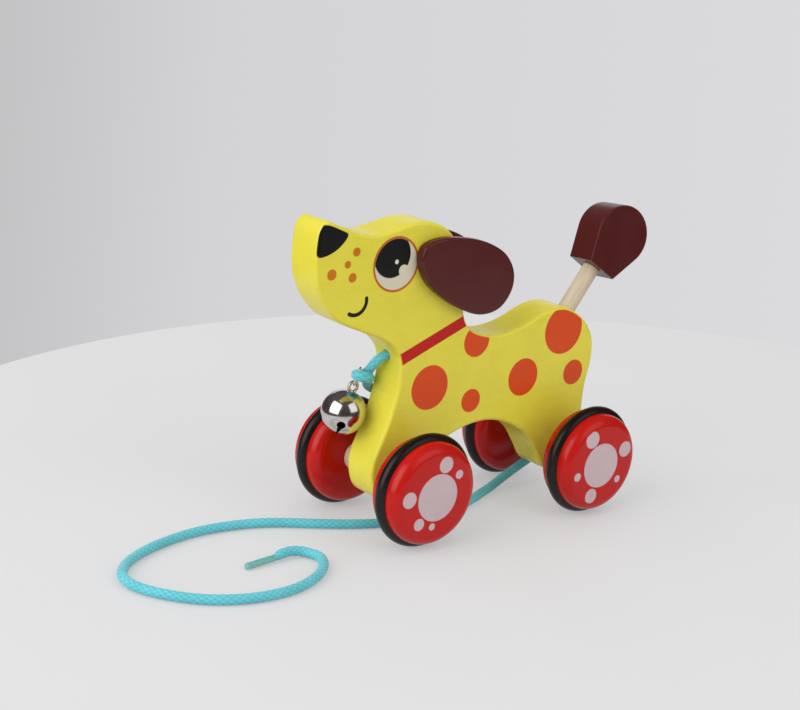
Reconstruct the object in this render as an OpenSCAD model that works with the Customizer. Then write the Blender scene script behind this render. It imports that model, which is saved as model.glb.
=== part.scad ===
// Pull-along wooden dog on four wheels, with a bell on its cord.
// Millimetres. The dog looks along -X, its left side is -Y, and it stands on z = 0.

/* [Body] */
// Thickness of the body plank
plank_t = 18; // [16:0.5:18]
// Radius of the eased edges of the body plank
edge_r = 1.5; // [0.5:0.25:2]
// Radius of the round foot about each axle
foot_r = 12.5; // [11:0.5:13.5]
// Diameter of the cord's hole in the chest
chest_hole_d = 4.4; // [4.2:0.1:5]

/* [Ears] */
// Thickness of an ear
ear_t = 5; // [4.5:0.5:8]
// Radius of the eased edges of an ear and of the tail puff
trim_edge_r = 1.2; // [0.5:0.1:1.5]
// Diameter of the dowel through the head
ear_dowel_d = 6; // [4:0.5:8]

/* [Tail] */
// Lean of the tail from upright, towards the back
tail_lean = 35.6; // [28:0.1:42]
// Diameter of the tail rod
tail_rod_d = 8; // [6:0.5:9]
// Bare length of the tail rod
tail_rod_len = 21.6; // [16:0.1:26]
// Thickness of the tail puff
puff_t = 17; // [13:0.5:18]
// Radius of the round end of the tail puff
puff_r = 14; // [13:0.1:16]
// Height of the tail puff
puff_h = 33; // [31:0.1:38]
// Width of the tail puff's flat end
puff_base_w = 16; // [12:0.1:18]
// Turn of the tail puff on its rod
puff_turn = -10; // [-20:1:20]

/* [Wheels] */
// Distance between the axles
wheelbase = 97; // [95:0.5:99]
// Distance between the middle planes of a pair of tyres
track = 57; // [57:0.5:62]
// Outside diameter of a tyre
tyre_d = 50; // [50:0.5:52]
// Thickness of a tyre's ring
tyre_t = 6; // [5:0.5:6.5]
// Diameter of a wooden wheel
wheel_d = 45; // [44:0.5:46]
// Thickness of a wooden wheel
wheel_t = 18; // [16:0.5:18]
// Radius of the round rim of a wheel
rim_r = 5; // [3:0.5:6]
// Diameter of an axle
axle_d = 8; // [6:0.5:10]
// Outside diameter of a spacer ring
spacer_d = 13; // [12:0.5:13.5]
// Depth of the axle's socket in a wheel
wheel_socket = 13; // [8:0.5:14]

/* [Bell] */
// Outside diameter of the bell
bell_d = 19.6; // [17:0.1:20]
// Wall thickness of the bell
bell_wall = 0.6; // [0.5:0.1:1]
// Distance from the bell's middle to the cord in its loop
bell_drop = 16.5; // [15.5:0.1:17.5]
// Lean of the bell against the chest
bell_lean = 21; // [20.5:0.1:26]
// Diameter of the loop's wire
loop_wire_d = 1.2; // [1:0.1:1.4]
// Width of the slots in the bell
slot_w = 1.2; // [0.8:0.1:2]
// Diameter of the round slot ends
slot_end_d = 3.4; // [2.5:0.1:4]
// Diameter of the loose ball
ball_d = 4.8; // [4.2:0.1:6]

/* [Cord] */
// Diameter of the cord
cord_d = 3.8; // [3:0.1:4]
// Diameter of the sleeve on the cord's end
tip_d = 2.8; // [2.2:0.1:3.6]
// Length of the sleeve on the cord's end
tip_len = 14; // [10:0.5:20]

/* [Hidden] */
$fn = 64;

yellow = "#e3d24a";
maroon = "#5a2a2c";
red = "#c8302a";
black = "#1c1c1e";
bare_wood = "#d8c4a0";
chrome = "#c9ccd0";
turquoise = "#45b8c0";
clear_green = "#7fc0b4";

left = -1;
right = 1;
run_clear = 0.06;
side_clear = 0.4;
sliver = 0.5;

axle_z = tyre_d / 2;
front_x = -45;
rear_x = front_x + wheelbase;
wheel_y = track / 2;
wheel_inner_y = wheel_y - wheel_t / 2;
axle_len = 2 * (wheel_inner_y + wheel_socket);
tyre_ring_r = (tyre_d - tyre_t) / 2;

// Side view of the body as [x, z], anticlockwise from the tip of the nose
snout = [
    [-91, 138], [-94.4, 134.6], [-95.4, 128], [-95.3, 119], [-93.8, 112], [-90, 104.6],
    [-82, 96.3], [-68, 90.3], [-55, 84.8], [-48.5, 78]
];
chest = [[-47, 67.5], [-49.4, 54.5], [-53.4, 42.5], [-57, 33.5]];
front_foot = [for (a = [180:45:315]) [front_x, axle_z] + foot_r * [cos(a), sin(a)]];
belly = [[-29.5, 28], [-20, 36.8], [-8, 41.8], [6, 43.3], [20, 39.6], [31, 32.6], [38, 23.5]];
rear_foot = [for (a = [225:45:360]) [rear_x, axle_z] + foot_r * [cos(a), sin(a)]];
rump = [[64.4, 40], [64.6, 53], [66.7, 66], [65.2, 77], [58, 86], [46, 91.9], [34, 90.7]];
back = [[20, 85.1], [8, 82.8], [-3, 84], [-11.5, 88.4], [-15.4, 97]];
head = [
    [-17, 110], [-20.5, 122], [-27, 131], [-36, 135], [-46, 135.4], [-57, 133], [-66, 131.2],
    [-75, 132.6], [-84, 135.8]
];
body_knots = concat(snout, chest, front_foot, belly, rear_foot, rump, back, head);

// Side view of an ear as [x, z], anticlockwise from its front end
ear_knots = [
    [-44.8, 120], [-40.3, 110.8], [-31, 103.2], [-19, 97], [-8.5, 94.3], [1.6, 96.6], [7.5, 104.5],
    [7.3, 113], [1.2, 121], [-11, 126.7], [-24, 128.9], [-35, 129], [-42.7, 126.2]
];
ear_dowel_at = [-33, 117];
ear_socket = 3;

// Where the tail rod leaves the rump, and how deep it sits at its two ends
tail_root = [55.7, 0, 89.5];
tail_rod_rump_depth = 14;
tail_rod_puff_depth = 10;

bell_r = bell_d / 2;
bell_pivot = [-55.8, 9.2, 65.7];
bell_centre = bell_pivot - bell_drop * [sin(bell_lean), 0, cos(bell_lean)];
loop_r = 3;
loop_inside = 1.5;
slot_turn = 53;
slot_end_angle = 58;
ball_fall = bell_r - bell_wall - ball_d / 2 - 0.3;

cord_r = cord_d / 2;
cord_sides = 10;
floor_z = cord_r + 0.05;

// Route of the cord from the bottom of its hole, forward and down behind the bell's loop
cord_start = [-38, 0, 77];
tether_route = [
    cord_start, [-44, 0, 77], [-48.5, 0, 77], [-51.2, 1.2, 76], [-52, 3.6, 73.9], [-51.4, 6.2, 71.8],
    [-50.3, 8.7, 70], [-50, 11.2, 68.4], [-51.4, 13.1, 67.1], [-53.6, 13, 66.3]
];
// The turn round one leg of the loop: it passes through the loop at 180 degrees and sinks ever faster
hitch_r = 3.1;
hitch_fall = 2.6;
hitch_route = [
    for (a = [140:40:340]) let (u = (a - 180) / 180)
        bell_pivot + [hitch_r * (1 + cos(a)), hitch_r * sin(a), -hitch_fall * u * abs(u)]
];
exit_route = [[-49.3, 10.3, 62], [-48.2, 11.8, 60.3], [-46.2, 12.4, 58.9], [-43.2, 12.5, 57.4]];
// Then along the right flank and over the rear axle
flank_route = [
    [-38, 12.4, 55.5], [-30, 12.3, 53], [-15, 12.3, 48.4], [0, 12.4, 44.4], [15, 12.5, 41],
    [30, 12.8, 38], [43, 13.4, 35.6], [52, 14, 34.4]
];
// Down behind the axle and forward under the belly to the floor
drop_route = [
    [59, 14.2, 32], [63.5, 14.3, 27], [64.5, 14.3, 20.5], [61.5, 14.1, 14.5], [55, 13.6, 10.8],
    [47, 12.8, 8], [38, 11.4, 5]
];
// On the floor: between the front wheels, then an open loop, [x, y]
floor_route = [
    [28, 9], [12, 1.5], [-6, -5], [-26, -7.8], [-45, -6.4], [-60, -1.6], [-74, 5.5], [-91, 14.5],
    [-108, 18.8], [-127, 18.8], [-147, 13.8], [-163, 6], [-173, -4], [-175, -15], [-169, -28],
    [-157, -40], [-141, -47], [-123, -47.6], [-108, -42], [-97.6, -33], [-93.6, -24], [-97, -17.6],
    [-103, -16.2], [-109.8, -16.9]
];
knot_route = concat(tether_route, hitch_route, exit_route);
cord_route = concat(knot_route, flank_route, drop_route, [for (p = floor_route) [p[0], p[1], floor_z]]);
knot_end = len(knot_route) - 1;
cord_end = len(cord_route) - 1;
tip_at = cord_route[cord_end];
tip_way = cord_route[cord_end] - cord_route[cord_end - 1];

function wrapped(i, n) = (i + n) % n;

function unit(v) = v / norm(v);

// Smooth curves through knots: each stretch is a cubic whose end slopes follow the next knots

function slope(before, at, after) = (after - before) / (norm(at - before) + norm(after - at));

function cubic(p, q, u, v, t) = let (reach = norm(q - p))
    (2 * t ^ 3 - 3 * t ^ 2 + 1) * p + (t ^ 3 - 2 * t ^ 2 + t) * reach * u
    + (3 * t ^ 2 - 2 * t ^ 3) * q + (t ^ 3 - t ^ 2) * reach * v;

function loop_slope(k, i) = let (n = len(k)) slope(k[wrapped(i - 1, n)], k[i], k[wrapped(i + 1, n)]);

function smooth_loop(k, steps) = let (n = len(k)) [
    for (i = [0:n - 1], s = [0:steps - 1]) let (j = wrapped(i + 1, n))
        cubic(k[i], k[j], loop_slope(k, i), loop_slope(k, j), s / steps)
];

function route_slope(k, i) = let (last = len(k) - 1)
    i == 0 ? unit(k[1] - k[0]) : i == last ? unit(k[last] - k[last - 1]) : slope(k[i - 1], k[i], k[i + 1]);

function smooth_route(k, from, to, steps) = concat(
    [for (i = [from:to - 1], s = [0:steps - 1])
        cubic(k[i], k[i + 1], route_slope(k, i), route_slope(k, i + 1), s / steps)],
    [k[to]]
);

// A path whose inner points are drawn towards their neighbours
function eased(path) = let (last = len(path) - 1) [
    for (i = [0:last]) i == 0 || i == last ? path[i] : (path[i - 1] + 2 * path[i] + path[i + 1]) / 4
];

// A path that goes no lower than z
function above(path, z) = [for (p = path) [p[0], p[1], max(p[2], z)]];

// An outline drawn in by d along its own normals
function drawn_in(outline, d) = let (n = len(outline)) [
    for (i = [0:n - 1]) let (way = unit(outline[wrapped(i + 1, n)] - outline[wrapped(i - 1, n)]))
        outline[i] + d * [-way[1], way[0]]
];

// Whether the corner at i of a ring of points can be cut off: it is convex, is more than a sliver
// and holds no other point
function is_free(points, ring, i) = let (
    n = len(ring),
    a = points[ring[wrapped(i - 1, n)]],
    b = points[ring[i]],
    c = points[ring[wrapped(i + 1, n)]]
) cross(b - a, c - b) > sliver && len([
    for (k = ring) let (p = points[k])
        if (p != a && p != b && p != c && cross(b - a, p - a) >= 0 && cross(c - b, p - b) >= 0
            && cross(a - c, p - c) >= 0) k
]) == 0;

function first_free(points, ring, i) =
    i == len(ring) - 1 || is_free(points, ring, i) ? i : first_free(points, ring, i + 1);

// A ring of points, anticlockwise, as triangles
function triangles(points, ring) = let (n = len(ring)) n == 3 ? [ring] : let (i = first_free(points, ring, 0))
    concat(
        [[ring[wrapped(i - 1, n)], ring[i], ring[wrapped(i + 1, n)]]],
        triangles(points, [for (k = [0:n - 1]) if (k != i) ring[k]])
    );

// A plank of an outline in the x-z plane, from y = 0 to y = thick, with round edges
module plank(outline, thick, edge) {
    n = len(outline);
    near = [for (a = [0:30:90]) edge * [1 - cos(a), 1 - sin(a)]];
    far = [for (i = [3:-1:0]) [thick - near[i][0], near[i][1]]];
    layers = concat(near, far);
    top = len(layers) - 1;
    points = [for (l = layers) for (p = drawn_in(outline, l[1])) [p[0], l[0], p[1]]];
    sides = [
        for (j = [0:top - 1], i = [0:n - 1], half = [0, 1]) let (
            a = j * n + i,
            b = j * n + wrapped(i + 1, n)
        ) half == 0 ? [a, b, b + n] : [a, b + n, a + n]
    ];
    cap = triangles(drawn_in(outline, edge), [for (i = [0:n - 1]) i]);
    near_face = [for (c = cap) [c[2], c[1], c[0]]];
    far_face = [for (c = cap) c + top * n * [1, 1, 1]];
    polyhedron(points, concat(near_face, sides, far_face));
}

// A tube swept along a path, with flat ends square to first_way and last_way
module tube(path, r, sides, first_way, last_way) {
    last = len(path) - 1;
    ways = [
        for (i = [0:last])
            i == 0 ? unit(first_way) : i == last ? unit(last_way) : unit(path[i + 1] - path[i - 1])
    ];
    ups = [
        for (i = 0, up = unit([0, 0, 1] - ways[0][2] * ways[0]); i <= last;
            i = i + 1, up = i <= last ? unit(up - (up * ways[i]) * ways[i]) : up) up
    ];
    points = [
        for (i = [0:last], s = [0:sides - 1]) let (a = 360 * (s + 0.5) / sides)
            path[i] + r * (cos(a) * ups[i] + sin(a) * cross(ways[i], ups[i]))
    ];
    walls = [
        for (j = [0:last - 1], s = [0:sides - 1], half = [0, 1]) let (
            a = j * sides + s,
            b = j * sides + wrapped(s + 1, sides)
        ) half == 0 ? [a, b + sides, b] : [a, a + sides, b + sides]
    ];
    first_face = [for (s = [0:sides - 1]) s];
    last_face = [for (s = [sides - 1:-1:0]) last * sides + s];
    polyhedron(points, concat([first_face], walls, [last_face]));
}

module across_y(x, z, d, width) {
    translate([x, 0, z]) rotate([90, 0, 0]) cylinder(d = d, h = width, center = true);
}

module along_tail() {
    translate(tail_root) rotate([0, tail_lean, 0]) children();
}

module in_bell() {
    translate(bell_centre) rotate([0, bell_lean, 0]) children();
}

module tail_rod_shape() {
    along_tail() translate([0, 0, -tail_rod_rump_depth])
        cylinder(d = tail_rod_d, h = tail_rod_rump_depth + tail_rod_len + tail_rod_puff_depth);
}

module chest_hole() {
    mouth = 14;
    translate(cord_start - [mouth, 0, 0]) rotate([0, 90, 0]) cylinder(d = chest_hole_d, h = mouth);
}

module body() {
    color(yellow) difference() {
        translate([0, -plank_t / 2, 0]) plank(smooth_loop(body_knots, 3), plank_t, edge_r);
        across_y(front_x, axle_z, axle_d + 2 * run_clear, plank_t + 2);
        across_y(rear_x, axle_z, axle_d + 2 * run_clear, plank_t + 2);
        across_y(ear_dowel_at[0], ear_dowel_at[1], ear_dowel_d, plank_t + 2);
        tail_rod_shape();
        chest_hole();
    }
}

module ear_dowel_shape() {
    across_y(ear_dowel_at[0], ear_dowel_at[1], ear_dowel_d, plank_t + 2 * ear_socket);
}

module ear(side) {
    color(maroon) difference() {
        translate([0, side == left ? -plank_t / 2 - ear_t : plank_t / 2, 0])
            plank(smooth_loop(ear_knots, 3), ear_t, trim_edge_r);
        ear_dowel_shape();
    }
}

module ear_dowel() {
    color(bare_wood) ear_dowel_shape();
}

module tail_rod() {
    color(bare_wood) tail_rod_shape();
}

// A drop: a flat end, straight sides and a round end that the sides run into without a corner
module tail_puff() {
    middle = puff_h - puff_r;
    base = puff_base_w / 2;
    turn = acos(puff_r / norm([base, middle])) - atan2(middle, base);
    round_end = [
        for (i = [0:28]) let (a = turn + i * (180 - 2 * turn) / 28)
            [puff_r * cos(a), middle + puff_r * sin(a)]
    ];
    drop = concat([[-base, 0], [base, 0]], round_end);
    color(maroon) difference() {
        along_tail() rotate([0, 0, puff_turn]) translate([0, -puff_t / 2, tail_rod_len])
            plank(drop, puff_t, trim_edge_r);
        tail_rod_shape();
    }
}

module axle(x) {
    color(bare_wood) across_y(x, axle_z, axle_d, axle_len);
}

// Half the cross-section of a wheel: round rims, and a groove that seats the tyre
module wheel_section() {
    flat_r = wheel_d / 2 - rim_r;
    wall = wheel_t / 2 - rim_r;
    difference() {
        union() {
            translate([0, -wheel_t / 2]) square([flat_r, wheel_t]);
            translate([0, -wall]) square([wheel_d / 2, 2 * wall]);
            for (side = [left, right]) translate([flat_r, side * wall]) circle(rim_r);
        }
        translate([tyre_ring_r, 0]) circle(d = tyre_t);
    }
}

// Places a wheel's axis along y, with the wheel's +Z outward
module at_wheel(side, x) {
    translate([x, side * wheel_y, axle_z]) rotate([-side * 90, 0, 0]) children();
}

module wheel(side, x) {
    color(red) at_wheel(side, x) difference() {
        rotate_extrude() wheel_section();
        translate([0, 0, -wheel_t / 2 - 1]) cylinder(d = axle_d, h = wheel_socket + 1);
    }
}

module tyre(side, x) {
    color(black) at_wheel(side, x) rotate_extrude() translate([tyre_ring_r, 0]) circle(d = tyre_t);
}

module spacer(side, x) {
    from = plank_t / 2 + side_clear;
    width = wheel_inner_y - from;
    inner = axle_d / 2;
    outer = spacer_d / 2;
    bevel = 0.5;
    color(bare_wood) translate([x, side * from, axle_z]) rotate([-side * 90, 0, 0]) rotate_extrude()
        polygon([
            [inner, 0], [outer - bevel, 0], [outer, bevel], [outer, width - bevel],
            [outer - bevel, width], [inner, width]
        ]);
}

module half_shell(upper) {
    rotate_extrude() intersection() {
        difference() {
            circle(bell_r);
            circle(bell_r - bell_wall);
        }
        translate([0, upper ? 0 : -bell_r]) square(bell_r);
    }
}

module loop_legs() {
    foot = bell_r - bell_wall - loop_inside;
    for (side = [left, right])
        translate([side * loop_r, 0, foot]) cylinder(d = loop_wire_d, h = bell_drop - foot);
}

module bell_upper_shell() {
    color(chrome) in_bell() difference() {
        half_shell(true);
        loop_legs();
    }
}

// Two crossed slots, each with a round hole at both ends
module bell_lower_shell() {
    slot_half = (bell_r - bell_wall / 2) * sin(slot_end_angle);
    slot_rise = bell_r * (1 - cos(slot_end_angle));
    color(chrome) in_bell() difference() {
        half_shell(false);
        for (turn = [slot_turn, slot_turn + 90]) rotate([0, 0, turn]) {
            translate([-slot_half, -slot_w / 2, -bell_r - 1]) cube([2 * slot_half, slot_w, slot_rise + 1]);
            for (side = [left, right]) rotate([0, side * (180 - slot_end_angle), 0])
                cylinder(d = slot_end_d, h = bell_r + 1);
        }
    }
}

module bell_loop() {
    color(chrome) in_bell() {
        loop_legs();
        translate([0, 0, bell_drop]) rotate([90, 0, 0]) rotate_extrude(angle = 180)
            translate([loop_r, 0]) circle(d = loop_wire_d);
    }
}

module bell_ball() {
    color(chrome) translate(bell_centre - [0, 0, ball_fall]) sphere(d = ball_d);
}

module cord_tether() {
    path = eased(eased(smooth_route(cord_route, 0, knot_end, 3)));
    color(turquoise) tube(path, cord_r, cord_sides, route_slope(cord_route, 0), route_slope(cord_route, knot_end));
}

module pull_cord() {
    path = above(smooth_route(cord_route, knot_end, cord_end, 2), floor_z);
    color(turquoise) tube(path, cord_r, cord_sides, route_slope(cord_route, knot_end), tip_way);
}

module cord_tip() {
    nose = 0.8;
    color(clear_green) translate([tip_at[0], tip_at[1], tip_d / 2 + 0.05])
        rotate([0, 90, atan2(tip_way[1], tip_way[0])]) rotate_extrude()
        polygon([
            [0, 0], [tip_d / 2, 0], [tip_d / 2, tip_len - nose], [tip_d / 2 - nose, tip_len], [0, tip_len]
        ]);
}

body();
ear(left);  // left_ear
ear(right);  // right_ear
ear_dowel();
tail_rod();
tail_puff();
axle(front_x);  // front_axle
wheel(left, front_x);  // wheel_front_left
wheel(right, front_x);  // wheel_front_right
tyre(left, front_x);  // tyre_front_left
tyre(right, front_x);  // tyre_front_right
spacer(left, front_x);  // spacer_front_left
spacer(right, front_x);  // spacer_front_right
axle(rear_x);  // rear_axle
wheel(left, rear_x);  // wheel_rear_left
wheel(right, rear_x);  // wheel_rear_right
tyre(left, rear_x);  // tyre_rear_left
tyre(right, rear_x);  // tyre_rear_right
spacer(left, rear_x);  // spacer_rear_left
spacer(right, rear_x);  // spacer_rear_right
bell_upper_shell();
bell_lower_shell();
bell_loop();
bell_ball();
cord_tether();
pull_cord();
cord_tip();
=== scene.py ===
"""A wooden dog on wheels, with a bell on its pull cord.

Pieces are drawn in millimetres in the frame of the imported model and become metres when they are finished.
The dog looks along -X, its left side is -Y, and it stands on z = 0.
"""

from math import acos, atan2, ceil, cos, degrees, exp, floor, hypot, pi, radians, sin

import bmesh
import bpy
from mathutils import Matrix, Vector


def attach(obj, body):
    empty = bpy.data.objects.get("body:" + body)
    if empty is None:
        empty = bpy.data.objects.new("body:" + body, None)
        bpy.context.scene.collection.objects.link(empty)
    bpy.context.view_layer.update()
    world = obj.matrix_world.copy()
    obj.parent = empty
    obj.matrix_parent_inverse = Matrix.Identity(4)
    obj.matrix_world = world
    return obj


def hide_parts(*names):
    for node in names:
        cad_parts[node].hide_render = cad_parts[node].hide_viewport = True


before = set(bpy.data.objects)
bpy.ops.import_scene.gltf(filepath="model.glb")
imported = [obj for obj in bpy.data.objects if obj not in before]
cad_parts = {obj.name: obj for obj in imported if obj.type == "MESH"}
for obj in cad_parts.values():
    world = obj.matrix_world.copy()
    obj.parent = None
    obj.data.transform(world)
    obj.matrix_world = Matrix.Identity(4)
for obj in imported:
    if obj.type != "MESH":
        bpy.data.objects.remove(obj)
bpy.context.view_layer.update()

MILLIMETRE = 0.001
SAME_POINT = 0.002

# The plank, the ears and the tail
PLANK_HALF = 9
PLANK_EDGE = 1.5
FOOT_RADIUS = 12.5
FRONT_AXLE = (-45, 25)
REAR_AXLE = (52, 25)
AXLE_HOLE = 8.12
EAR_DOWEL = (-33, 117)
EAR_DOWEL_WIDTH = 6
EAR_THICKNESS = 5
EAR_EDGE = 1.2
TAIL_ROOT = (55.7, 0, 89.5)
TAIL_LEAN = radians(35.6)
TAIL_RADIUS = 4
TAIL_DEPTH = 14
TAIL_BARE = 21.6
TAIL_TOP = 31.6
PUFF_HALF = 8.5
PUFF_EDGE = 0.6
PUFF_TURN = radians(-10)

# The wheels: radii, and distances from the middle of the disc or of the plank
WHEEL_MIDDLE = 28.5
WHEEL_RADIUS = 22.5
WHEEL_HALF = 9
WHEEL_ROUND = 5
AXLE_RADIUS = 4
AXLE_END = 4
TYRE_RADIUS = 22
TYRE_HALF = 3
SPACER_RADIUS = 6.5
SPACER_INNER = 9.4
SPACER_OUTER = 19.5

# The bell, its ring and its link
BELL_PIVOT = Vector((-55.8, 9.2, 65.7))
BELL_LEAN = radians(21)
BELL_DROP = 16.5
BELL_RADIUS = 9.8
BELL_INSIDE = 9.2
BELL_WALL = (BELL_RADIUS + BELL_INSIDE) / 2
SLOT_TURNS = (57.5, 147.5)
SLOT_SPREAD = radians(58)
SLOT_HALF = 0.5
SLOT_FLARE = 1.2
SLOT_HOLE = 3.8
BELOW_BELL = 12
RING_WIRE = 1.4
RING_RADIUS = 2.2
RING_HEIGHT = 11.5
LINK_WIRE = 1
LINK_RADIUS = 1.5
LINK_LENGTH = 4.9
LINK_HEIGHT = 13.9
LINK_TURN = radians(50)

# The cord and its sleeve
CORD_RADIUS = 2.1
CORD_FLOOR = 2.2
CORD_HOLE = 4.4
CORD_SIDES = 48
CORD_STEP = 0.38
STRANDS = 6
STRAND_TURN = 18.4
HITCH_SWELL = 0.2
HITCH_LENGTH = 5
SLEEVE_GRIP = 11.6
SLEEVE_TAPER = 5
GRIPPED_RADIUS = 1.2

SNOUT = [
    (-91, 138), (-94.4, 134.6), (-95.4, 128), (-95.3, 119), (-93.8, 112), (-90, 104.6),
    (-82, 96.3), (-68, 90.3), (-55, 84.8), (-48.5, 78),
]
CHEST = [(-47, 67.5), (-49.4, 54.5), (-53.4, 42.5), (-57, 33.5)]
BELLY = [(-29.5, 28), (-20, 36.8), (-8, 41.8), (6, 43.3), (20, 39.6), (31, 32.6), (38, 23.5)]
RUMP = [(64.4, 40), (64.6, 53), (66.7, 66), (65.2, 77), (58, 86), (46, 91.9), (34, 90.7)]
BACK = [(20, 85.1), (8, 82.8), (-3, 84), (-11.5, 88.4), (-15.4, 97)]
HEAD = [
    (-17, 110), (-20.5, 122), (-27, 131), (-36, 135), (-46, 135.4), (-57, 133), (-66, 131.2),
    (-75, 132.6), (-84, 135.8),
]
EAR = [
    (-44.8, 120), (-40.3, 110.8), (-31, 103.2), (-19, 97), (-8.5, 94.3), (1.6, 96.6), (7.5, 104.5),
    (7.3, 113), (1.2, 121), (-11, 126.7), (-24, 128.9), (-35, 129), (-42.7, 126.2),
]

# The cord: out of the chest, round the bell's link, along the right flank, over the rear axle, to the floor
TETHER = [
    (-38, 0, 77), (-44, 0, 77), (-48.3, 0, 77), (-50.6, 1, 75.5), (-51.8, 3, 72.9), (-51.7, 5.4, 70.2),
    (-51.1, 8, 67.8), (-50.9, 10, 66.3), (-51.2, 11.7, 65.3), (-52.8, 12.6, 65), (-54.5, 11.6, 65.5),
]
HITCH_FRONT = Vector((-55.6, 4.6, 66.5))
HITCH = [
    (-55.8, 9.6, 66.2), (-57.6, 7.8, 66.9), (-57.8, 5.9, 66.9), HITCH_FRONT, (-53, 4.9, 65.9),
    (-51.2, 6.4, 65.1), (-50.2, 8.5, 63.6),
]
HITCH_EXIT = [(-49.3, 10.4, 61.9), (-48.2, 11.8, 60.3), (-46.2, 12.4, 58.9), (-43.2, 12.5, 57.4)]
FLANK = [
    (-38, 12.4, 55.5), (-30, 12.3, 53), (-15, 12.3, 48.4), (0, 12.4, 44.4), (15, 12.5, 41),
    (30, 12.8, 38), (43, 13.4, 35.6), (52, 14, 34.4),
]
DROP = [
    (59, 14.2, 32), (63.5, 14.3, 27), (64.5, 14.3, 20.5), (61.5, 14.1, 14.5), (55, 13.6, 10.8),
    (47, 12.8, 8), (38, 11.4, 5),
]
ON_THE_FLOOR = [
    (28, 9), (12, 1.5), (-6, -5), (-26, -7.8), (-45, -6), (-60, -0.8), (-74, 6.5), (-91, 15.7),
    (-108, 20), (-127, 20), (-147, 14.8), (-163, 6.7), (-173, -3.6), (-175, -14.8), (-169, -27.6),
    (-157, -39.4), (-141, -46.2), (-123, -46.8), (-108, -41.4), (-97.6, -32.8), (-93.6, -24), (-97, -17.6),
    (-103.6, -16),
]
SLEEVE_START = Vector((-111.2, -17.2, 2.15))
SLEEVE_END = Vector((-125.4, -18.4, 1.5))
SLEEVE_SECTION = [
    (1.24, 0), (1.4, 0), (1.46, 0.15), (1.46, 13.4), (1.38, 13.9), (1.15, 14.2), (0, 14.25),
    (0, 13.6), (1, 13.6), (1.2, 13.4), (1.24, 13), (1.24, 0),
]

# The prints: x, z and radius of each round one
SPOTS = [
    (-30.3, 62.8, 10), (-6, 81.2, 7.2), (46.1, 81.6, 11.4), (24, 61.6, 8.75), (55.2, 60.6, 6),
    (-6, 54.1, 5.35),
]
FRECKLES = [(-75.6, 125, 1.9), (-79.6, 120, 1.6), (-87.2, 116.3, 2.3), (-76.7, 114.4, 2)]
FRONT_PAW = [
    (-44.4, 24.5, 10.4), (-41.4, 38.6, 3.6), (-33.7, 33.3, 2), (-59.5, 25.6, 3.55), (-53.3, 13.9, 2.7),
    (-46.1, 11.8, 1.6),
]
REAR_PAW = [
    (51.3, 24.8, 10.4), (44.1, 37.9, 4), (65.8, 30.7, 3.7), (47.1, 10.7, 3.5), (37.2, 21.2, 2),
    (63, 16.7, 1.7),
]
COLLAR_ACROSS = (-0.3904, 0.9206)
COLLAR_MIDDLE = 89.22
COLLAR_HALF = 2.65
MOUTH = (-74.2, 104.2)
MOUTH_RADIUS = 5.65
MOUTH_START = 241
MOUTH_END = 371
MOUTH_LINE = 0.85
EYE = (-54.8, 118.6)
EYE_RADIUS = 10.85
EYE_RIM = 11.85
PUPIL = (-57, 122.3)
PUPIL_RADIUS = 9.4
NOTCH = (-50.5, 115.7)
NOTCH_RADIUS = 2.5
GLINT = (-54.5, 119.6)
GLINT_RADIUS = 0.95
NOSE = (-95.2, 140.9)
NOSE_RADIUS = 17.4
BROW_UP = (0.372, 0.928)
BROW_HEIGHT = 93.45
SNOUT_FRONT = -95.2

YELLOW = "#D7CB3F"
SPOT_ORANGE = "#CB4200"
COLLAR_RED = "#B20A00"
FRECKLE_BROWN = "#BE6C00"
BLACK = "#0C0B0A"
MOUTH_BLACK = "#0E0A06"
RIM_BROWN = "#B45A0C"
EYE_WHITE = "#C9C2AA"
GLINT_WHITE = "#D4D0C4"
WHEEL_RED = "#B20E05"
PAW_PINK = "#BEA9AC"
MAROON = "#4D1A18"


# Curves


def lean(before, at, after):
    return (after - before) / ((at - before).length + (after - at).length)


def stretch(start, end, leaving, arriving, t):
    """A point on the cubic from one knot to the next."""
    reach = (end - start).length
    return (
        start * (2 * t**3 - 3 * t**2 + 1)
        + leaving * reach * (t**3 - 2 * t**2 + t)
        + end * (3 * t**2 - 2 * t**3)
        + arriving * reach * (t**3 - t**2)
    )


def smooth_loop(knots, steps):
    """A closed curve through the knots."""
    knots = [Vector(k) for k in knots]
    ring = range(len(knots))
    after = knots[1:] + knots[:1]
    leans = [lean(knots[i - 1], knots[i], after[i]) for i in ring]
    next_leans = leans[1:] + leans[:1]
    return [
        stretch(knots[i], after[i], leans[i], next_leans[i], s / steps)
        for i in ring
        for s in range(steps)
    ]


def smooth_route(knots, steps):
    """An open curve through the knots."""
    last = len(knots) - 1
    leans = [lean(knots[max(i - 1, 0)], knots[i], knots[min(i + 1, last)]) for i in range(last + 1)]
    points = [
        stretch(knots[i], knots[i + 1], leans[i], leans[i + 1], s / steps)
        for i in range(last)
        for s in range(steps)
    ]
    return points + [knots[last]]


def eased(path):
    """A path with each inner point drawn towards its neighbours."""
    inner = [(path[i - 1] + 2 * path[i] + path[i + 1]) / 4 for i in range(1, len(path) - 1)]
    return path[:1] + inner + path[-1:]


def evenly_spaced(path, gap):
    """Points along a path at one distance from each other, both ends kept."""
    legs = [(b - a).length for a, b in zip(path, path[1:])]
    count = ceil(sum(legs) / gap)
    step = sum(legs) / count
    points = [path[0]]
    passed = 0
    for start, end, leg in zip(path, path[1:], legs):
        while len(points) < count and len(points) * step <= passed + leg:
            points.append(start.lerp(end, (len(points) * step - passed) / leg))
        passed += leg
    return points + [path[-1]]


def arc(centre, radius, start, end, steps):
    """Points on an arc between two angles in degrees."""
    turns = [radians(start + (end - start) * i / steps) for i in range(steps + 1)]
    return [(centre[0] + radius * cos(a), centre[1] + radius * sin(a)) for a in turns]


# Woodwork and metalwork


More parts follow.
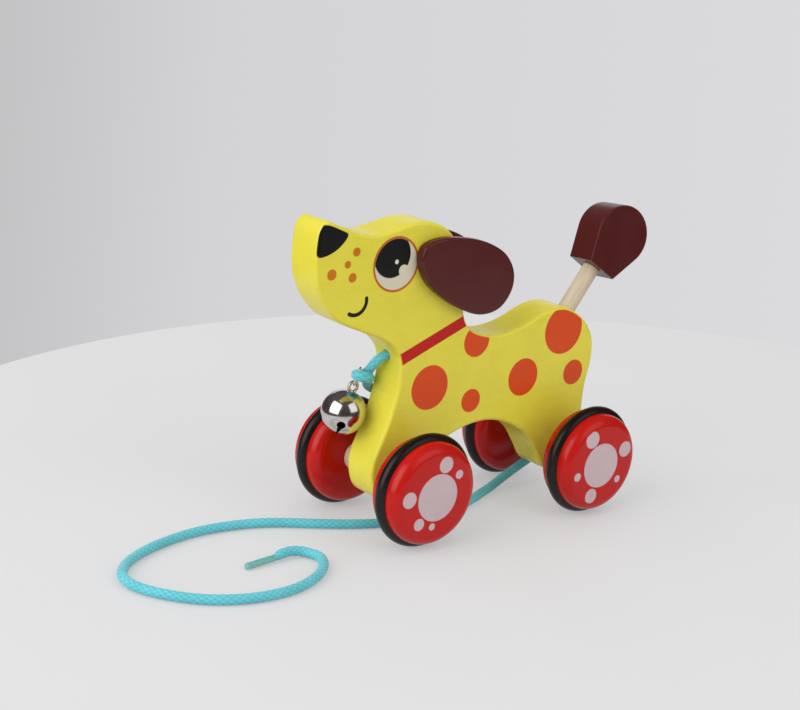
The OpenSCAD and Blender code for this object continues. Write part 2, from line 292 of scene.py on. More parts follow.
def tidied(shape):
    bmesh.ops.remove_doubles(shape, verts=shape.verts, dist=SAME_POINT)
    bmesh.ops.recalc_face_normals(shape, faces=shape.faces)
    return shape


def placed(shape, matrix):
    bmesh.ops.transform(shape, matrix=matrix, verts=shape.verts)
    return shape


def pushed_out(corners, way):
    """A block from a flat outline that is pushed straight along a way."""
    block = bmesh.new()
    face = block.faces.new([block.verts.new(corner) for corner in corners])
    sides = bmesh.ops.extrude_face_region(block, geom=[face])["geom"]
    moved = [v for v in sides if isinstance(v, bmesh.types.BMVert)]
    bmesh.ops.translate(block, verts=moved, vec=way)
    return block


def sawn_board(outline, near, far, edge):
    """A board with an outline in x and z, from near to far in y, its edges eased to a radius."""
    board = pushed_out([(x, near, z) for x, z in outline], (0, far - near, 0))
    rims = [e for e in board.edges if abs(e.verts[0].co.y - e.verts[1].co.y) < 0.01]
    bmesh.ops.bevel(
        board, geom=rims, offset=edge, offset_type="OFFSET", segments=4, profile=0.5,
        affect="EDGES", material=-1, clamp_overlap=False,
    )
    return tidied(board)


def turned(profile, steps):
    """A profile of (radius, height) points turned about the y axis."""
    blank = bmesh.new()
    corners = [blank.verts.new((r, y, 0)) for r, y in profile]
    edges = [blank.edges.new(pair) for pair in zip(corners, corners[1:])]
    bmesh.ops.spin(
        blank, geom=corners + edges, cent=(0, 0, 0), axis=(0, 1, 0), dvec=(0, 0, 0),
        angle=2 * pi, steps=steps, use_merge=True, use_duplicate=False,
    )
    return tidied(blank)


def drill_bit(diameter, start, end):
    """A rod between two points."""
    start = Vector(start)
    way = Vector(end) - start
    rod = bmesh.new()
    bmesh.ops.create_cone(
        rod, cap_ends=True, segments=48, radius1=diameter / 2, radius2=diameter / 2, depth=way.length
    )
    aim = way.to_track_quat("Z", "Y").to_matrix().to_4x4()
    return placed(rod, Matrix.Translation(start + way / 2) @ aim)


def through_bit(diameter, centre):
    """A rod that goes right through the plank."""
    x, z = centre
    past = PLANK_HALF + 3
    return drill_bit(diameter, (x, -past, z), (x, past, z))


def as_mesh(name, shape):
    mesh = bpy.data.meshes.new(name)
    shape.to_mesh(mesh)
    shape.free()
    return mesh


def in_scene(name, data):
    item = bpy.data.objects.new(name, data)
    bpy.context.scene.collection.objects.link(item)
    return item


def cut_away(shape, *bits):
    """The shape with each bit cut out of it."""
    work, *cutters = [in_scene("rough", as_mesh("rough", rough)) for rough in (shape, *bits)]
    for cutter in cutters:
        cut = work.modifiers.new("cut", "BOOLEAN")
        cut.operation = "DIFFERENCE"
        cut.solver = "EXACT"
        cut.object = cutter
    done = work.evaluated_get(bpy.context.evaluated_depsgraph_get())
    left = bmesh.new()
    left.from_mesh(done.to_mesh())
    done.to_mesh_clear()
    for used in [work] + cutters:
        bpy.data.meshes.remove(used.data)
    return left


def finished(name, shape, finish, body, slot, *nodes):
    """Makes a shape a piece that rides on a body and stands for its nodes."""
    for face in shape.faces:
        face.smooth = True
    bmesh.ops.scale(shape, vec=(MILLIMETRE, MILLIMETRE, MILLIMETRE), verts=shape.verts)
    mesh = as_mesh(name, shape)
    mesh.set_sharp_from_angle(angle=radians(35))
    mesh.materials.append(finish.material)
    piece = in_scene(name, mesh)
    piece.modifiers.new("even shading", "WEIGHTED_NORMAL").keep_sharp = True
    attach(piece, body)
    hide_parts(*nodes)
    return piece


# Finishes


def paint(code):
    """A linear colour from a six-digit screen colour."""
    parts = [int(code[i : i + 2], 16) / 255 for i in (1, 3, 5)]
    return tuple(p / 12.92 if p < 0.04 else ((p + 0.055) / 1.055) ** 2.4 for p in parts) + (1,)


class Steps:
    """The steps of a shader. Each input is a plain value or what another step gives."""

    def __init__(self, tree):
        self.tree = tree

    def feed(self, step, inputs):
        for name, value in inputs.items():
            if isinstance(value, bpy.types.NodeSocket):
                self.tree.links.new(value, step.inputs[name])
            else:
                step.inputs[name].default_value = value

    def add(self, kind, inputs=None, out=0, **settings):
        step = self.tree.nodes.new("ShaderNode" + kind)
        for name, value in settings.items():
            setattr(step, name, value)
        self.feed(step, inputs or {})
        return step.outputs[out]

    def fade(self, value, low, high, first=0.0, last=1.0):
        """Goes from first to last while the value goes from low to high."""
        return self.add("MapRange", {0: value, 1: low, 2: high, 3: first, 4: last})

    def math(self, operation, first, second=0.0):
        return self.add("Math", {0: first, 1: second}, operation=operation)

    def mixed(self, share, under, over):
        return self.add("Mix", {0: share, 6: under, 7: over}, out=2, data_type="RGBA")


class Finish(Steps):
    """A principled shader with its steps. Its place is the point on the piece in millimetres."""

    def __init__(self, name):
        self.material = bpy.data.materials.new(name)
        self.material.use_nodes = True
        super().__init__(self.material.node_tree)
        self.shader = self.tree.nodes["Principled BSDF"]
        metres = self.add("TexCoord", out="Object")
        self.place = self.add("VectorMath", {0: metres, 1: (1000, 1000, 1000)}, operation="MULTIPLY")

    def shade(self, **inputs):
        self.feed(self.shader, {name.replace("_", " "): value for name, value in inputs.items()})

    def noise(self, stretch_by, detail=3.0, seed=(0, 0, 0)):
        """Noise of about one lump per unit of the stretched place."""
        spread = self.add("VectorMath", {0: self.place, 1: stretch_by, 2: seed}, operation="MULTIPLY_ADD")
        return self.add("TexNoise", {"Vector": spread, "Scale": 1.0, "Detail": detail})

    def bump(self, height, distance, strength, under=None):
        inputs = {"Height": height, "Distance": distance, "Strength": strength}
        if under is not None:
            inputs["Normal"] = under
        return self.add("Bump", inputs)

    def varied(self, colour, share, low, high):
        value = self.fade(share, 0.3, 0.7, low, high)
        return self.add("HueSaturation", {"Value": value, "Color": colour})


class Lacquer(Finish):
    """Satin lacquer on close-grained wood, with prints that are drawn in the side view."""

    def __init__(self, name, code):
        super().__init__(name)
        self.colour = paint(code)
        self.inked = None
        self.side_view = self.add("VectorMath", {0: self.place, 1: (1, 0, 1)}, operation="MULTIPLY")

    def compare(self, operation, point, out=0):
        """The side view set against a point or a way in it."""
        point = (point[0], 0, point[1])
        return self.add("VectorMath", {0: self.side_view, 1: point}, out=out, operation=operation)

    def distance(self, point):
        return self.compare("DISTANCE", point, out=1)

    def reach(self, way):
        return self.compare("DOT_PRODUCT", way, out=1)

    def off_by(self, value, wanted):
        return self.math("ABSOLUTE", self.math("SUBTRACT", value, wanted))

    def within(self, value, limit, soft):
        """A share that is 1 where the value is under its limit."""
        return self.fade(value, limit - soft, limit + soft, 1, 0)

    def disc(self, centre, radius, soft=0.12):
        """A share that is 1 inside a round print."""
        return self.within(self.distance(centre), radius, soft)

    def sideways(self, low, high):
        """A share that rises from 0 to 1 between two distances from the middle plane."""
        width = self.add("SeparateXYZ", {0: self.place}, out="Y")
        return self.fade(self.math("ABSOLUTE", width), low, high)

    def printed(self, code, mask, where):
        """Prints a colour where both shares are 1."""
        mask = self.math("MULTIPLY", mask, where)
        self.colour = self.mixed(mask, self.colour, paint(code))
        self.inked = mask if self.inked is None else self.math("MAXIMUM", self.inked, mask)

    def polished(self, smooth):
        """The grain just shows, and the gloss is a little uneven."""
        grain = self.noise((0.05, 0.9, 0.9), 4.0)
        cloud = self.noise((0.08, 0.08, 0.08), 2.0, (7, 3, 5))
        gloss = self.fade(cloud, 0.3, 0.7, smooth - 0.04, smooth + 0.04)
        grainy = self.bump(grain, 0.00004, 0.12)
        skin = self.bump(self.noise((0.7, 0.7, 0.7), 1.0, (2, 9, 4)), 0.00004, 0.15, grainy)
        if self.inked is not None:
            skin = self.bump(self.inked, 0.00003, 0.6, skin)
            gloss = self.add("Math", {0: self.inked, 1: 0.06, 2: gloss}, operation="MULTIPLY_ADD")
        tinted = self.varied(self.varied(self.colour, grain, 0.985, 1.015), cloud, 0.97, 1.03)
        self.shade(Base_Color=tinted, Roughness=gloss, Normal=skin, Specular_IOR_Level=0.3)
        return self


def print_mouth(finish, flat):
    """A smile: part of a ring, with round ends."""
    line = finish.within(finish.off_by(finish.distance(MOUTH), MOUTH_RADIUS), MOUTH_LINE, 0.1)
    aim = finish.add("VectorMath", {0: finish.compare("SUBTRACT", MOUTH)}, operation="NORMALIZE")
    half_way = radians((MOUTH_START + MOUTH_END) / 2)
    middle = (cos(half_way), 0, sin(half_way))
    turn = finish.add("VectorMath", {0: aim, 1: middle}, out=1, operation="DOT_PRODUCT")
    finish.printed(MOUTH_BLACK, finish.math("MULTIPLY", line, finish.fade(turn, 0.41, 0.43)), flat)
    for end in arc(MOUTH, MOUTH_RADIUS, MOUTH_START, MOUTH_END, 1):
        finish.printed(MOUTH_BLACK, finish.disc(end, MOUTH_LINE, 0.1), flat)


def print_eye(finish, flat):
    """A rimmed white, and in it a pupil with a notch and a glint."""
    white = finish.disc(EYE, EYE_RADIUS)
    pupil = finish.math("MULTIPLY", finish.disc(PUPIL, PUPIL_RADIUS), white)
    notch = finish.math("MULTIPLY", finish.disc(NOTCH, NOTCH_RADIUS), white)
    finish.printed(RIM_BROWN, finish.disc(EYE, EYE_RIM), flat)
    finish.printed(EYE_WHITE, white, flat)
    finish.printed(BLACK, pupil, flat)
    finish.printed(EYE_WHITE, notch, flat)
    finish.printed(GLINT_WHITE, finish.disc(GLINT, GLINT_RADIUS), flat)


def print_nose(finish):
    """A round patch cut by the brow and the front of the snout, its corners rounded."""
    patch = finish.math("SUBTRACT", finish.distance(NOSE), NOSE_RADIUS)
    brow = finish.math("SUBTRACT", finish.reach(BROW_UP), BROW_HEIGHT)
    along = finish.add("SeparateXYZ", {0: finish.side_view}, out="X")
    front = finish.math("SUBTRACT", SNOUT_FRONT, along)
    snout = finish.add("Math", {0: brow, 1: front, 2: 10.0}, operation="SMOOTH_MAX")
    nose = finish.add("Math", {0: snout, 1: patch, 2: 3.0}, operation="SMOOTH_MAX")
    finish.printed(BLACK, finish.within(nose, 0, 0.12), finish.sideways(8.3, 8.5))


def dog_lacquer():
    finish = Lacquer("dog_lacquer", YELLOW)
    flat = finish.sideways(8.75, 8.95)
    for x, z, radius in SPOTS:
        finish.printed(SPOT_ORANGE, finish.disc((x, z), radius), flat)
    off_collar = finish.off_by(finish.reach(COLLAR_ACROSS), COLLAR_MIDDLE)
    finish.printed(COLLAR_RED, finish.within(off_collar, COLLAR_HALF, 0.1), flat)
    for x, z, radius in FRECKLES:
        finish.printed(FRECKLE_BROWN, finish.disc((x, z), radius), flat)
    print_mouth(finish, flat)
    print_eye(finish, flat)
    print_nose(finish)
    return finish.polished(0.28)


def wheel_lacquer():
    finish = Lacquer("wheel_lacquer", WHEEL_RED)
    outside = finish.sideways(37.3, 37.45)
    for x, z, radius in FRONT_PAW + REAR_PAW:
        finish.printed(PAW_PINK, finish.disc((x, z), radius), outside)
    return finish.polished(0.24)


def bare_wood(name, turn):
    """Sanded wood with its grain along z once it is turned back."""
    finish = Finish(name)
    finish.place = finish.add("Mapping", {"Vector": finish.place, "Rotation": turn}, vector_type="TEXTURE")
    grain = finish.noise((1.6, 1.6, 0.05), 5.0)
    pores = finish.noise((5, 5, 0.35), 2.0, (3, 1, 8))
    streaks = finish.fade(grain, 0.35, 0.65)
    colour = finish.mixed(streaks, paint("#CDBFA8"), paint("#BDAA8C"))
    colour = finish.mixed(finish.fade(pores, 0.62, 0.75, 0, 0.35), colour, paint("#9A8462"))
    finish.shade(
        Base_Color=colour,
        Roughness=finish.fade(grain, 0.3, 0.7, 0.55, 0.7),
        Normal=finish.bump(pores, 0.0001, 0.4),
    )
    return finish


def tyre_rubber():
    finish = Finish("tyre_rubber")
    mould = finish.noise((0.9, 0.9, 0.9), 3.0)
    dust = finish.noise((0.12, 0.12, 0.12), 4.0, (5, 5, 1))
    # Dark rubber with a red tint that is painted bounce light from the red wheels; dust lightens it in
    # patches.
    colour = finish.mixed(finish.fade(dust, 0.5, 0.75, 0, 0.25), paint("#120B0A"), paint("#271B19"))
    finish.shade(
        Base_Color=colour,
        Specular_IOR_Level=0.32,
        Roughness=finish.fade(mould, 0.3, 0.7, 0.26, 0.38),
        Normal=finish.bump(mould, 0.00006, 0.3),
    )
    return finish


def bell_plating(name, smooth):
    finish = Finish(name)
    cloud = finish.noise((0.25, 0.25, 0.25), 3.0)
    colour = finish.mixed(finish.fade(cloud, 0.4, 0.7), paint("#D6D3CF"), paint("#C6C2BC"))
    dents = finish.noise((0.16, 0.16, 0.16), 1.0, (4, 2, 6))
    finish.shade(
        Base_Color=colour,
        Metallic=1.0,
        Roughness=finish.fade(cloud, 0.35, 0.7, smooth, smooth + 0.06),
        Normal=finish.bump(dents, 0.0002, 0.12),
    )
    return finish


def bell_painted_shade():
    """Painted shade: a near-black, half-metal finish for the inside of the bell, the edges of its slots and
    its ball.
    """
    finish = Finish("bell_painted_shade")
    blotches = finish.noise((0.5, 0.5, 0.5), 4.0)
    # Near-black tones: painted shade, where the inside of the bell lies in its own shadow.
    colour = finish.mixed(finish.fade(blotches, 0.35, 0.7), paint("#2A2624"), paint("#1D1A18"))
    finish.shade(
        Base_Color=colour,
        Metallic=0.5,
        Roughness=finish.fade(blotches, 0.3, 0.7, 0.6, 0.8),
        Normal=finish.bump(blotches, 0.0001, 0.3),
    )
    return finish


def cord_braid():
    finish = Finish("cord_braid")
    raised = finish.add("Attribute", out="Fac", attribute_name="braid")
    fibre = finish.noise((3, 3, 3), 3.0)
    tone = finish.noise((0.12, 0.12, 0.12), 2.0, (1, 6, 3))
    # Darker where the braid lies low: painted shade in the crevices between the strands.
    colour = finish.mixed(finish.fade(raised, 0.1, 0.85), paint("#359AA5"), paint("#5DBDC8"))
    colour = finish.varied(finish.varied(colour, fibre, 0.9, 1.1), tone, 0.93, 1.07)
    finish.shade(
        Base_Color=colour,
        Roughness=finish.fade(fibre, 0.3, 0.7, 0.6, 0.8),
        Normal=finish.bump(fibre, 0.00012, 0.5),
        Sheen_Weight=0.25,
        Sheen_Roughness=0.5,
    )
    return finish


def clear_sleeve():
    finish = Finish("clear_sleeve")
    haze = finish.noise((0.8, 0.8, 0.8), 3.0)
    colour = finish.mixed(finish.fade(haze, 0.35, 0.7), paint("#93DCD3"), paint("#7FCEC5"))
    finish.shade(
        Base_Color=colour,
        Roughness=finish.fade(haze, 0.3, 0.7, 0.12, 0.22),
        Normal=finish.bump(haze, 0.00008, 0.3),
        Transmission_Weight=0.5,
        IOR=1.45,
        Coat_Weight=1.0,
        Coat_Roughness=0.06,
    )
    return finish


# The camera and the cord


def set_camera():
    """Stands where the photograph was taken, with its slight roll."""
    turn, height, roll = radians(-39.43), radians(15.31), radians(5.23)
    back = Vector((sin(turn) * cos(height), -cos(turn) * cos(height), sin(height)))
    lens = bpy.data.cameras.new("camera")
    lens.sensor_fit = "HORIZONTAL"
    lens.sensor_width = 36
    lens.lens = 74.2
    lens.clip_start = 0.02
    lens.clip_end = 20
    camera = in_scene("camera", lens)
    aim = (-back).to_track_quat("-Z", "Y").to_matrix() @ Matrix.Rotation(roll, 3, "Z")
    camera.matrix_world = Matrix.Translation((-0.47214, -0.52436, 0.26182)) @ aim.to_4x4()
    bpy.context.scene.camera = camera


def cord_route():
    """The cord's middle line, from the bottom of its hole into its sleeve."""
    floor_points = [(x, y, CORD_FLOOR) for x, y in ON_THE_FLOOR]
    knot = [Vector(p) for p in TETHER + HITCH + HITCH_EXIT]
    knots = knot + [Vector(p) for p in FLANK + DROP + floor_points] + [SLEEVE_START]
    end = len(knot) - 1
    near = eased(smooth_route(knots, 3)[: 3 * end + 1])
    far = smooth_route(knots, 2)[2 * end + 1 : -1]
    for point in far:
        point.z = max(point.z, CORD_FLOOR)
    for point, lift in zip(far[-4:], (0.3, 0.7, 0.9, 0.6)):
        point.z += lift
    inside = [SLEEVE_START.lerp(SLEEVE_END, share) for share in (0, 0.3, 0.6, 0.88)]
    return evenly_spaced(smooth_route(near + far + inside, 8), CORD_STEP)


def woven_height(around, along):
    """How high the braid stands, from 0 to 1: as many strands each way, over one and under one."""
    first = STRANDS * (around + along / STRAND_TURN)
    second = STRANDS * (around - along / STRAND_TURN)
    over = cos(pi * (second - 0.5 + floor(first)))
    under = cos(pi * (first + 0.5 + floor(second)))
    ridge_a = abs(sin(pi * first)) ** 0.6 * (0.68 + 0.32 * over)
    ridge_b = abs(sin(pi * second)) ** 0.6 * (0.68 + 0.32 * under)
    return max(ridge_a, ridge_b)


def make_cord(finish, sleeve):
    route = cord_route()
    rings = len(route) - 1
    length = sum((b - a).length for a, b in zip(route, route[1:]))
    front = min(range(rings), key=lambda i: (route[i] - HITCH_FRONT).length) * length / rings
    tube = bmesh.new()
    bmesh.ops.create_grid(tube, x_segments=rings, y_segments=CORD_SIDES, size=0.5)
    raised = tube.verts.layers.float.new("braid")
    frames = []
    up = Vector((0, 0, 1))
    for i in range(rings + 1):
        way = (route[min(i + 1, rings)] - route[max(i - 1, 0)]).normalized()
        up = (up - up.dot(way) * way).normalized()
        frames.append((route[i], up.copy(), way.cross(up)))
    for vert in tube.verts:
        i = round((vert.co.x + 0.5) * rings)
        around = round((vert.co.y + 0.5) * CORD_SIDES) / CORD_SIDES
        along = length * i / rings
        height = woven_height(around, along)
        free = min(max((length - along - SLEEVE_GRIP) / SLEEVE_TAPER, 0), 1)
        radius = GRIPPED_RADIUS + (CORD_RADIUS - GRIPPED_RADIUS) * free * free * (3 - 2 * free)
        swell = HITCH_SWELL * exp(-(((along - front) / HITCH_LENGTH) ** 2))
        radius *= (0.9 + 0.1 * height) * (1 + swell)
        middle, up, side = frames[i]
        vert.co = middle + radius * (cos(2 * pi * around) * up + sin(2 * pi * around) * side)
        vert[raised] = height
    bmesh.ops.remove_doubles(tube, verts=tube.verts, dist=SAME_POINT)
    bmesh.ops.holes_fill(tube, edges=[e for e in tube.edges if e.is_boundary], sides=0)
    tidied(tube)
    cord = finished("braided_cord", tube, finish, "body", "cord_braid", "cord_tether", "pull_cord")


def make_sleeve(finish):
    way = SLEEVE_END - SLEEVE_START
    sleeve = turned(SLEEVE_SECTION, 48)
    placed(sleeve, Matrix.Translation(SLEEVE_START) @ way.to_track_quat("Y", "Z").to_matrix().to_4x4())
    return finished("cord_sleeve", sleeve, finish, "body", "tip_sleeve", "cord_tip")


# The dog


def tail_frame():
    return Matrix.Translation(TAIL_ROOT) @ Matrix.Rotation(TAIL_LEAN, 4, "Y")


def tail_point(height):
    return tail_frame() @ Vector((0, 0, height))


def make_dog(finish):
    front_foot = arc(FRONT_AXLE, FOOT_RADIUS, 180, 315, 3)
    rear_foot = arc(REAR_AXLE, FOOT_RADIUS, 225, 360, 3)
    knots = SNOUT + CHEST + front_foot + BELLY + rear_foot + RUMP + BACK + HEAD
    board = sawn_board(smooth_loop(knots, 6), -PLANK_HALF, PLANK_HALF, PLANK_EDGE)
    bits = [
        through_bit(AXLE_HOLE, FRONT_AXLE),
        through_bit(AXLE_HOLE, REAR_AXLE),
        through_bit(EAR_DOWEL_WIDTH, EAR_DOWEL),
        drill_bit(2 * TAIL_RADIUS, tail_point(-TAIL_DEPTH), tail_point(20)),
        drill_bit(CORD_HOLE, (-56, 0, 77), TETHER[0]),
    ]
    finished("dog_plank", cut_away(board, *bits), finish, "body", "yellow_lacquer", "body")


def make_ears(finish):
    x, z = EAR_DOWEL
    for name, side in (("left_ear", -1), ("right_ear", 1)):
        inner = side * PLANK_HALF
        outer = side * (PLANK_HALF + EAR_THICKNESS)
        board = sawn_board(smooth_loop(EAR, 8), min(inner, outer), max(inner, outer), EAR_EDGE)
        socket = drill_bit(EAR_DOWEL_WIDTH, (x, inner - side, z), (x, inner + 3 * side, z))
        finished(name + "_plank", cut_away(board, socket), finish, "body", "maroon_lacquer", name)


def make_tail(wood, finish):
    edge = 0.5
    profile = [
        (0, -TAIL_DEPTH), (TAIL_RADIUS - edge, -TAIL_DEPTH), (TAIL_RADIUS, edge - TAIL_DEPTH),
        (TAIL_RADIUS, TAIL_TOP - edge), (TAIL_RADIUS - edge, TAIL_TOP), (0, TAIL_TOP),
    ]
    rod = placed(turned(profile, 64), tail_frame() @ Matrix.Rotation(radians(90), 4, "X"))
    finished("tail_dowel", rod, wood, "body", "bare_wood", "tail_rod")
    base, middle, round_end = 8, 19, 14
    turn = degrees(acos(round_end / hypot(base, middle)) - atan2(middle, base))
    outline = [(-base, 0), (base, 0)] + arc((0, middle), round_end, turn, 180 - turn, 60)
    drop = sawn_board(outline, -PUFF_HALF, PUFF_HALF, PUFF_EDGE)
    placed(drop, tail_frame() @ Matrix.Rotation(PUFF_TURN, 4, "Z") @ Matrix.Translation((0, 0, TAIL_BARE)))
    drop = cut_away(drop, drill_bit(2 * TAIL_RADIUS, tail_point(5), tail_point(TAIL_TOP)))
    finished("tail_drop", drop, finish, "body", "maroon_lacquer", "tail_puff")


# The wheels


def wheel_profile():
    """A disc with round rims, a groove for its tyre and a blind bore for its axle."""
    shoulder = WHEEL_RADIUS - WHEEL_ROUND
    level = WHEEL_HALF - WHEEL_ROUND
    bore = [
        (0, AXLE_END), (AXLE_RADIUS - 0.1, AXLE_END), (AXLE_RADIUS, AXLE_END - 0.1),
        (AXLE_RADIUS, 0.4 - WHEEL_HALF), (AXLE_RADIUS + 0.4, -WHEEL_HALF),
    ]
    inner_rim = arc((shoulder, -level), WHEEL_ROUND, -90, 0, 10)
    groove = arc((TYRE_RADIUS, 0), TYRE_HALF, 279.6, 80.4, 24)
    outer_rim = arc((shoulder, level), WHEEL_ROUND, 0, 90, 10)
    return bore + inner_rim + groove + outer_rim + [(0, WHEEL_HALF)]


def make_wheel(side, end, red, rubber, wood):
    x, z = FRONT_AXLE if end == "front" else REAR_AXLE
    body = end + "_wheels"
    label = end + ("_left" if side < 0 else "_right")
    outward = Matrix.Rotation(pi, 4, "X") if side < 0 else Matrix.Identity(4)
    hub = Matrix.Translation((x, side * WHEEL_MIDDLE, z)) @ outward
    disc = placed(turned(wheel_profile(), 128), hub)
    finished("wheel_disc_" + label, disc, red, body, "red_lacquer", "wheel_" + label)
    ring = placed(turned(arc((TYRE_RADIUS, 0), TYRE_HALF, 0, 360, 32), 128), hub)
    finished("tyre_ring_" + label, ring, rubber, body, "tyre_rubber", "tyre_" + label)
    half = (SPACER_OUTER - SPACER_INNER) / 2
    corner = [(SPACER_RADIUS, half - 0.6), (SPACER_RADIUS - 0.1, half - 0.2), (SPACER_RADIUS - 0.5, half)]
    section = [(r, -y) for r, y in reversed(corner)] + corner
    section = [(AXLE_RADIUS, -half)] + section + [(AXLE_RADIUS, half), (AXLE_RADIUS, -half)]
    spacer = placed(turned(section, 64), Matrix.Translation((x, side * (SPACER_INNER + half), z)))
    finished("spacer_ring_" + label, spacer, wood, body, "bare_wood", "spacer_" + label)


# The bell


def bell_frame():
    drop = Vector((sin(BELL_LEAN), 0, cos(BELL_LEAN))) * BELL_DROP
    return Matrix.Translation(BELL_PIVOT - drop) @ Matrix.Rotation(BELL_LEAN, 4, "Y")


def half_shell(sign):
    """One pressed half, with a fine rolled edge at the seam."""
    outer = arc((0, 0), BELL_RADIUS, 90, 0.25, 40)
    lip = [(9.77, 0.012), (9.3, 0.01)]
    inner = arc((0, 0), BELL_INSIDE, 0.5, 90, 40)
    shell = turned([(r, sign * h) for r, h in outer + lip + inner], 128)
    return placed(shell, Matrix.Rotation(radians(90), 4, "X"))


def slot_bits():
    """Two crossed slots that flare into a round hole at each end."""
    reach = BELL_WALL * sin(SLOT_SPREAD)
    narrow = reach - 3
    top = -BELL_RADIUS * cos(SLOT_SPREAD)
    edge = [(-reach, SLOT_FLARE), (-narrow, SLOT_HALF), (narrow, SLOT_HALF), (reach, SLOT_FLARE)]
    corners = [(x, -y, -BELOW_BELL) for x, y in edge] + [(x, y, -BELOW_BELL) for x, y in reversed(edge)]
    bits = []
    for turn in SLOT_TURNS:
        slot = tidied(pushed_out(corners, (0, 0, BELOW_BELL + top)))
        bits.append(placed(slot, Matrix.Rotation(radians(turn), 4, "Z")))
        for flip in (0, 180):
            a = radians(turn + flip)
            way = Vector((cos(a) * sin(SLOT_SPREAD), sin(a) * sin(SLOT_SPREAD), -cos(SLOT_SPREAD)))
            bits.append(drill_bit(SLOT_HOLE, way * 6, way * BELOW_BELL))
    return bits


def ring_and_link():
    """The bell's own ring, let into its top, and the long link that hangs it on the cord."""
    ring = turned(arc((RING_RADIUS, 0), RING_WIRE / 2, 0, 360, 24), 64)
    placed(ring, Matrix.Translation((0, 0, RING_HEIGHT)))
    link = turned(arc((LINK_RADIUS, 0), LINK_WIRE / 2, 0, 360, 16), 64)
    for vert in link.verts:
        if vert.co.z > 0.01:
            vert.co.z += LINK_LENGTH
    placed(link, Matrix.Translation((0, 0, LINK_HEIGHT)) @ Matrix.Rotation(LINK_TURN, 4, "Z"))
    rough = as_mesh("rough", link)
    ring.from_mesh(rough)
    bpy.data.meshes.remove(rough)
    return ring


def line_shell(shell, painted_shade):
    """Gives the inside of a pressed half and the edges of its slots the painted shade finish."""
    shell.data.materials.append(painted_shade.material)
    middle = bell_frame().to_translation() * MILLIMETRE
    for face in shell.data.polygons:
        out = face.center - middle
        if out.length < BELL_WALL * MILLIMETRE or face.normal.dot(out) < 0.5 * out.length:
            face.material_index = 1


def make_bell(finish, wire, painted_shade):
    holes = [drill_bit(1.5, (0.8 * side, 0, 8.6), (1.5 * side, 0, 10.4)) for side in (-1, 1)]
    upper = placed(cut_away(half_shell(1), *holes), bell_frame())
    lower = placed(cut_away(half_shell(-1), *slot_bits()), bell_frame())
    line_shell(finished("bell_top", upper, finish, "bell", "bell_plating", "bell_upper_shell"), painted_shade)
    line_shell(finished("bell_bottom", lower, finish, "bell", "bell_plating", "bell_lower_shell"), painted_shade)
    finished("bell_wire", placed(ring_and_link(), bell_frame()), wire, "bell", "bell_plating", "bell_loop")


def dress_node(name, finish):
    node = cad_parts[name]
    node.data.materials.clear()
    node.data.materials.append(finish.material)


# The stage, in metres


def stage_piece(name, shape, finish):
    mesh = as_mesh(name, shape)
    mesh.materials.append(finish.material)
    return in_scene(name, mesh)


def make_table():
    """A round white table, which glows a little to the eye so that it stays pale."""
    table = turned([(0, 0), (0.392, 0), (0.397, -0.002), (0.398, -0.02), (0, -0.02)], 256)
    bmesh.ops.rotate(table, matrix=Matrix.Rotation(radians(90), 3, "X"), verts=table.verts)
    bmesh.ops.translate(table, vec=(0.0786, -0.0755, 0), verts=table.verts)
    finish = Finish("white_table")
    cloud = finish.noise((0.01, 0.01, 0.01), 3.0)
    finish.shade(
        Base_Color=finish.mixed(finish.fade(cloud, 0.3, 0.7), paint("#D3D3D4"), paint("#D6D5D6")),
        Roughness=finish.fade(cloud, 0.3, 0.7, 0.5, 0.6),
        Specular_IOR_Level=0.3,
    )
    seen = finish.add("LightPath", out="Is Camera Ray")
    for ray in ("Is Glossy Ray", "Is Transmission Ray"):
        seen = finish.math("MAXIMUM", seen, finish.add("LightPath", out=ray))
    share = finish.math("MULTIPLY", seen, 0.45)
    glow = finish.add("Emission", {"Color": (0.76, 0.76, 0.765, 1), "Strength": 1.0})
    lit = finish.add("MixShader", {0: share, 1: finish.shader.outputs[0], 2: glow})
    finish.feed(finish.tree.nodes["Material Output"], {"Surface": lit})
    piece = stage_piece("table", table, finish)


def make_wall():
    """A pale wall all round, a little darker to the left, under a bright ceiling."""
    world = bpy.data.worlds.new("studio")
    world.use_nodes = True
    bpy.context.scene.world = world
    steps = Steps(world.node_tree)
    way = steps.add("TexCoord", out="Generated")
    across = steps.add("VectorMath", {0: way, 1: (0.7725, -0.635, 0)}, out=1, operation="DOT_PRODUCT")
    wall = steps.add("ValToRGB", {0: steps.fade(across, -0.5, 0.5)})
    left, right = wall.node.color_ramp.elements
    left.position = 0.26
    left.color = (0.55, 0.55, 0.56, 1)
    right.position = 0.74
    right.color = (0.71, 0.705, 0.725, 1)
    wall.node.color_ramp.elements.new(0.38).color = (0.655, 0.655, 0.67, 1)
    height = steps.add("SeparateXYZ", {0: way}, out="Z")
    sky = steps.mixed(steps.fade(height, 0, 0.3), wall, (0.86, 0.86, 0.87, 1))
    steps.feed(world.node_tree.nodes["Background"], {"Color": sky})


def make_softbox(name, way, distance, size, power):
    lamp = bpy.data.lights.new(name, "AREA")
    lamp.shape = "SQUARE"
    lamp.size = size
    lamp.energy = power
    way = Vector(way).normalized()
    place = Vector((0, 0, 0.06)) + way * distance
    box = in_scene(name, lamp)
    box.matrix_world = Matrix.Translation(place) @ way.to_track_quat("Z", "Y").to_matrix().to_4x4()


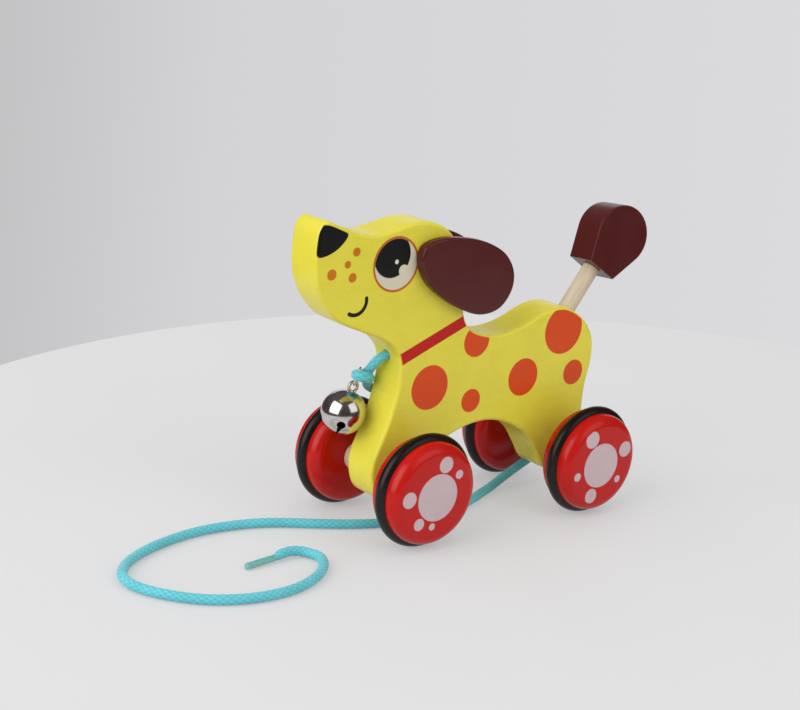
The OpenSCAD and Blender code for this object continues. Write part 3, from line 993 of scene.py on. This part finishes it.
def make_dark_room():
    """The unlit room as a dome that only shiny things see: a painted reflection, dark, and painted lighter
    towards the top where the ceiling is lit. Low down it is open on the side away from the camera.
    """
    radius = 3.2
    dome = bmesh.new()
    for low, high, start, sweep in ((-29, 27, 78, 305), (27, 90, 0, 360)):
        angles = [radians(a) for a in range(low, high + 1, 7)]
        corners = [dome.verts.new((radius * cos(a), 0, radius * sin(a))) for a in angles]
        edges = [dome.edges.new(pair) for pair in zip(corners, corners[1:])]
        bmesh.ops.rotate(dome, matrix=Matrix.Rotation(radians(start), 3, "Z"), verts=corners)
        bmesh.ops.spin(
            dome, geom=corners + edges, cent=(0, 0, 0), axis=(0, 0, 1), dvec=(0, 0, 0),
            angle=radians(sweep), steps=48, use_merge=sweep == 360, use_duplicate=False,
        )
    finish = Finish("painted_room_reflection")
    light_patches = finish.noise((0.002, 0.002, 0.002), 2.0)
    height = finish.add("SeparateXYZ", {0: finish.place}, out="Z")
    # Painted light: the dome is lighter towards the top and in broad patches.
    share = finish.math("MULTIPLY", finish.fade(height, 600, 2800, 0.2, 1), light_patches)
    finish.shade(Base_Color=finish.mixed(share, paint("#3A322F"), paint("#857B80")), Roughness=0.9)
    piece = stage_piece("dark_room", dome, finish)
    piece.visible_camera = False
    piece.visible_diffuse = False
    piece.visible_shadow = False
    piece.visible_transmission = False


def main():
    bpy.context.scene.view_settings.view_transform = "Standard"
    set_camera()
    make_cord(cord_braid(), make_sleeve(clear_sleeve()))
    maroon = Lacquer("maroon_lacquer", MAROON).polished(0.27)
    along_tail = bare_wood("tail_wood", (0, TAIL_LEAN, 0))
    across_wood = bare_wood("axle_wood", (radians(90), 0, 0))
    make_dog(dog_lacquer())
    make_ears(maroon)
    make_tail(along_tail, maroon)
    red = wheel_lacquer()
    rubber = tyre_rubber()
    for end in ("front", "rear"):
        for side in (-1, 1):
            make_wheel(side, end, red, rubber, across_wood)
    # The inside of the bell, its slot edges and its ball get painted shade.
    inside_shade = bell_painted_shade()
    make_bell(bell_plating("bell_plating", 0.12), bell_plating("wire_plating", 0.22), inside_shade)
    for name in ("ear_dowel", "front_axle", "rear_axle"):
        dress_node(name, across_wood)
    # The ball inside the bell gets the painted shade too.
    dress_node("bell_ball", inside_shade)
    make_table()
    make_wall()
    make_softbox("key", (-0.887, -0.04, 0.44), distance=2.0, size=1.9, power=28.5)
    make_softbox("fill", (0.30, -0.80, 0.54), distance=2.0, size=1.5, power=7.4)
    make_dark_room()


main()
